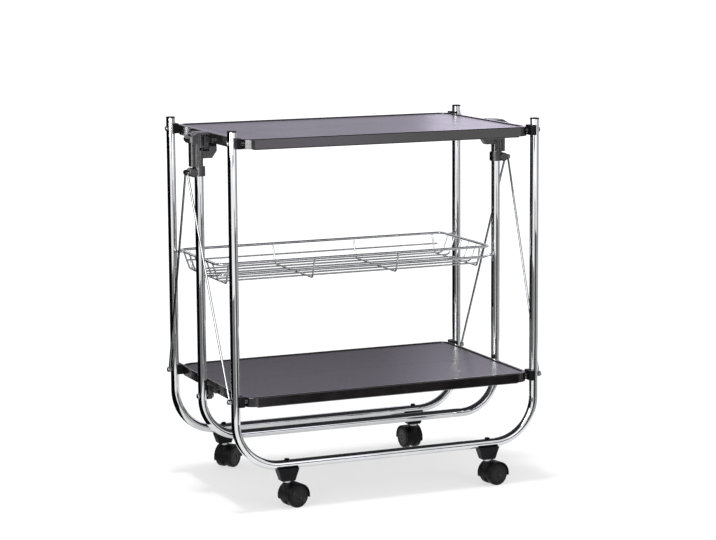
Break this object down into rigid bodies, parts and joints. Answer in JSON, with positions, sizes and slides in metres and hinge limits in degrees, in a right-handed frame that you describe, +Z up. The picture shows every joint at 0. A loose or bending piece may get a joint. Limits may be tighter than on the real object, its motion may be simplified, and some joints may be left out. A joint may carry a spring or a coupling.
{
  "type": "kitchen cart",
  "caption": "Folding serving cart: bent chrome tube frames, split dark trays, a wire bottle basket, moulded handles and swivel casters.",
  "frame": {"origin": "on the floor under the middle of the whole cart, 10.2 mm behind the middle frame", "axes": "+X along the trays to the right as seen from the front, +Y to the rear, where the basket is, +Z up"},
  "size_m": [0.64, 0.3829, 0.6685],
  "materials": {
    "chrome": "mirror chrome plate",
    "steel": "bright zinc plate",
    "rim_black": "glossy moulded edge",
    "panel_dark": "satin board",
    "moulded_black": "fine satin",
    "wheel_black": "moulded satin"
  },
  "bodies": {
    "middle_frame": {"middle_tube": "chrome", "left_handle": "moulded_black", "right_handle": "moulded_black", "upper_centre_pins": "steel", "lower_centre_pins": "steel"},
    "front_upper_leaf": {"front_upper_rim": "rim_black", "front_upper_panel": "panel_dark", "front_upper_lugs": "moulded_black"},
    "front_lower_leaf": {"front_lower_rim": "rim_black", "front_lower_panel": "panel_dark", "front_lower_lugs": "moulded_black"},
    "front_frame": {"front_tube": "chrome", "front_end_caps": "moulded_black", "front_upper_rivets": "steel", "front_lower_rivets": "steel", "front_foot_bolts": "steel", "front_saddles": "moulded_black", "front_left_foot": "moulded_black", "front_right_foot": "moulded_black"},
    "rear_upper_leaf": {"rear_upper_rim": "rim_black", "rear_upper_panel": "panel_dark", "rear_upper_lugs": "moulded_black"},
    "rear_lower_leaf": {"rear_lower_rim": "rim_black", "rear_lower_panel": "panel_dark", "rear_lower_lugs": "moulded_black"},
    "rear_frame": {"rear_tube": "chrome", "rear_end_caps": "moulded_black", "rear_upper_rivets": "steel", "rear_lower_rivets": "steel", "rear_foot_bolts": "steel", "rear_saddles": "moulded_black", "rear_left_foot": "moulded_black", "rear_right_foot": "moulded_black"},
    "bottle_basket": {"bottle_basket": "chrome"},
    "left_collar": {"left_collar": "moulded_black"},
    "front_left_rod": {"front_left_rod": "chrome"},
    "rear_left_rod": {"rear_left_rod": "chrome"},
    "right_collar": {"right_collar": "moulded_black"},
    "front_right_rod": {"front_right_rod": "chrome"},
    "rear_right_rod": {"rear_right_rod": "chrome"},
    "front_left_caster": {"front_left_caster_hood": "moulded_black", "front_left_caster_stem": "steel", "front_left_caster_axle": "steel"},
    "front_left_wheel_a": {"front_left_wheel_a": "wheel_black"},
    "front_left_wheel_b": {"front_left_wheel_b": "wheel_black"},
    "front_right_caster": {"front_right_caster_hood": "moulded_black", "front_right_caster_stem": "steel", "front_right_caster_axle": "steel"},
    "front_right_wheel_a": {"front_right_wheel_a": "wheel_black"},
    "front_right_wheel_b": {"front_right_wheel_b": "wheel_black"},
    "rear_left_caster": {"rear_left_caster_hood": "moulded_black", "rear_left_caster_stem": "steel", "rear_left_caster_axle": "steel"},
    "rear_left_wheel_a": {"rear_left_wheel_a": "wheel_black"},
    "rear_left_wheel_b": {"rear_left_wheel_b": "wheel_black"},
    "rear_right_caster": {"rear_right_caster_hood": "moulded_black", "rear_right_caster_stem": "steel", "rear_right_caster_axle": "steel"},
    "rear_right_wheel_a": {"rear_right_wheel_a": "wheel_black"},
    "rear_right_wheel_b": {"rear_right_wheel_b": "wheel_black"}
  },
  "joints": [
    {"name": "fold", "type": "hinge", "parent": "front_frame", "child": "front_upper_leaf", "pos_m": [0, -0.1732, 0.647], "axis": [1, 0, 0], "range_deg": [0, 83]},
    {"name": "middle_frame_hinge", "type": "hinge", "parent": "front_upper_leaf", "child": "middle_frame", "pos_m": [0, -0.0102, 0.627], "axis": [1, 0, 0], "range_deg": [-83, 0]},
    {"name": "front_lower_leaf_hinge", "type": "hinge", "parent": "middle_frame", "child": "front_lower_leaf", "pos_m": [0, -0.0102, 0.178], "axis": [1, 0, 0], "range_deg": [0, 83]},
    {"name": "rear_upper_leaf_hinge", "type": "hinge", "parent": "middle_frame", "child": "rear_upper_leaf", "pos_m": [0, -0.0102, 0.627], "axis": [1, 0, 0], "range_deg": [-83, 0]},
    {"name": "rear_lower_leaf_hinge", "type": "hinge", "parent": "middle_frame", "child": "rear_lower_leaf", "pos_m": [0, -0.0102, 0.178], "axis": [1, 0, 0], "range_deg": [-83, 0]},
    {"name": "rear_frame_hinge", "type": "hinge", "parent": "rear_upper_leaf", "child": "rear_frame", "pos_m": [0, 0.1528, 0.647], "axis": [1, 0, 0], "range_deg": [0, 83]},
    {"name": "basket_hinge", "type": "hinge", "parent": "middle_frame", "child": "bottle_basket", "pos_m": [0, -0.0102, 0.398], "axis": [1, 0, 0], "range_deg": [-83, 0]},
    {"name": "left_collar_slide", "type": "slide", "parent": "middle_frame", "child": "left_collar", "axis": [0, 0, 1], "range_m": [-0.15, 0]},
    {"name": "front_left_rod_hinge", "type": "hinge", "parent": "left_collar", "child": "front_left_rod", "pos_m": [-0.3165, -0.0154, 0.5826], "axis": [1, 0, 0], "range_deg": [0, 17.6]},
    {"name": "rear_left_rod_hinge", "type": "hinge", "parent": "left_collar", "child": "rear_left_rod", "pos_m": [-0.3165, -0.005, 0.5826], "axis": [1, 0, 0], "range_deg": [-17.6, 0]},
    {"name": "right_collar_slide", "type": "slide", "parent": "middle_frame", "child": "right_collar", "axis": [0, 0, 1], "range_m": [-0.15, 0]},
    {"name": "front_right_rod_hinge", "type": "hinge", "parent": "right_collar", "child": "front_right_rod", "pos_m": [0.3165, -0.0154, 0.5826], "axis": [1, 0, 0], "range_deg": [0, 17.6]},
    {"name": "rear_right_rod_hinge", "type": "hinge", "parent": "right_collar", "child": "rear_right_rod", "pos_m": [0.3165, -0.005, 0.5826], "axis": [1, 0, 0], "range_deg": [-17.6, 0]},
    {"name": "front_left_caster_swivel", "type": "hinge", "parent": "front_frame", "child": "front_left_caster", "pos_m": [-0.196, -0.1732, 0.0495], "axis": [0, 0, 1], "continuous": true},
    {"name": "front_left_wheel_a_roll", "type": "hinge", "parent": "front_left_caster", "child": "front_left_wheel_a", "pos_m": [-0.18231, -0.17029, 0.0205], "axis": [-0.2079, 0.9781, 0], "continuous": true},
    {"name": "front_left_wheel_b_roll", "type": "hinge", "parent": "front_left_caster", "child": "front_left_wheel_b", "pos_m": [-0.18231, -0.17029, 0.0205], "axis": [-0.2079, 0.9781, 0], "continuous": true},
    {"name": "front_right_caster_swivel", "type": "hinge", "parent": "front_frame", "child": "front_right_caster", "pos_m": [0.196, -0.1732, 0.0495], "axis": [0, 0, 1], "continuous": true},
    {"name": "front_right_wheel_a_roll", "type": "hinge", "parent": "front_right_caster", "child": "front_right_wheel_a", "pos_m": [0.20979, -0.17077, 0.0205], "axis": [-0.1736, 0.9848, 0], "continuous": true},
    {"name": "front_right_wheel_b_roll", "type": "hinge", "parent": "front_right_caster", "child": "front_right_wheel_b", "pos_m": [0.20979, -0.17077, 0.0205], "axis": [-0.1736, 0.9848, 0], "continuous": true},
    {"name": "rear_left_caster_swivel", "type": "hinge", "parent": "rear_frame", "child": "rear_left_caster", "pos_m": [-0.196, 0.1528, 0.0495], "axis": [0, 0, 1], "continuous": true},
    {"name": "rear_left_wheel_a_roll", "type": "hinge", "parent": "rear_left_caster", "child": "rear_left_wheel_a", "pos_m": [-0.18482, 0.16123, 0.0205], "axis": [-0.6018, 0.7986, 0], "continuous": true},
    {"name": "rear_left_wheel_b_roll", "type": "hinge", "parent": "rear_left_caster", "child": "rear_left_wheel_b", "pos_m": [-0.18482, 0.16123, 0.0205], "axis": [-0.6018, 0.7986, 0], "continuous": true},
    {"name": "rear_right_caster_swivel", "type": "hinge", "parent": "rear_frame", "child": "rear_right_caster", "pos_m": [0.196, 0.1528, 0.0495], "axis": [0, 0, 1], "continuous": true},
    {"name": "rear_right_wheel_a_roll", "type": "hinge", "parent": "rear_right_caster", "child": "rear_right_wheel_a", "pos_m": [0.19478, 0.16675, 0.0205], "axis": [-0.9962, -0.0872, 0], "continuous": true},
    {"name": "rear_right_wheel_b_roll", "type": "hinge", "parent": "rear_right_caster", "child": "rear_right_wheel_b", "pos_m": [0.19478, 0.16675, 0.0205], "axis": [-0.9962, -0.0872, 0], "continuous": true}
  ],
  "couplings": [
    {"joint": "middle_frame_hinge", "follows": "fold", "ratio": -1},
    {"joint": "front_lower_leaf_hinge", "follows": "fold", "ratio": 1},
    {"joint": "rear_upper_leaf_hinge", "follows": "fold", "ratio": -1},
    {"joint": "rear_lower_leaf_hinge", "follows": "fold", "ratio": -1},
    {"joint": "rear_frame_hinge", "follows": "fold", "ratio": 1},
    {"joint": "basket_hinge", "follows": "fold", "ratio": -1},
    {"joint": "left_collar_slide", "follows": "fold", "m_per_rad": -0.10332},
    {"joint": "front_left_rod_hinge", "follows": "fold", "ratio": 0.21139},
    {"joint": "rear_left_rod_hinge", "follows": "fold", "ratio": -0.21139},
    {"joint": "right_collar_slide", "follows": "fold", "m_per_rad": -0.10332},
    {"joint": "front_right_rod_hinge", "follows": "fold", "ratio": 0.21139},
    {"joint": "rear_right_rod_hinge", "follows": "fold", "ratio": -0.21139}
  ]
}
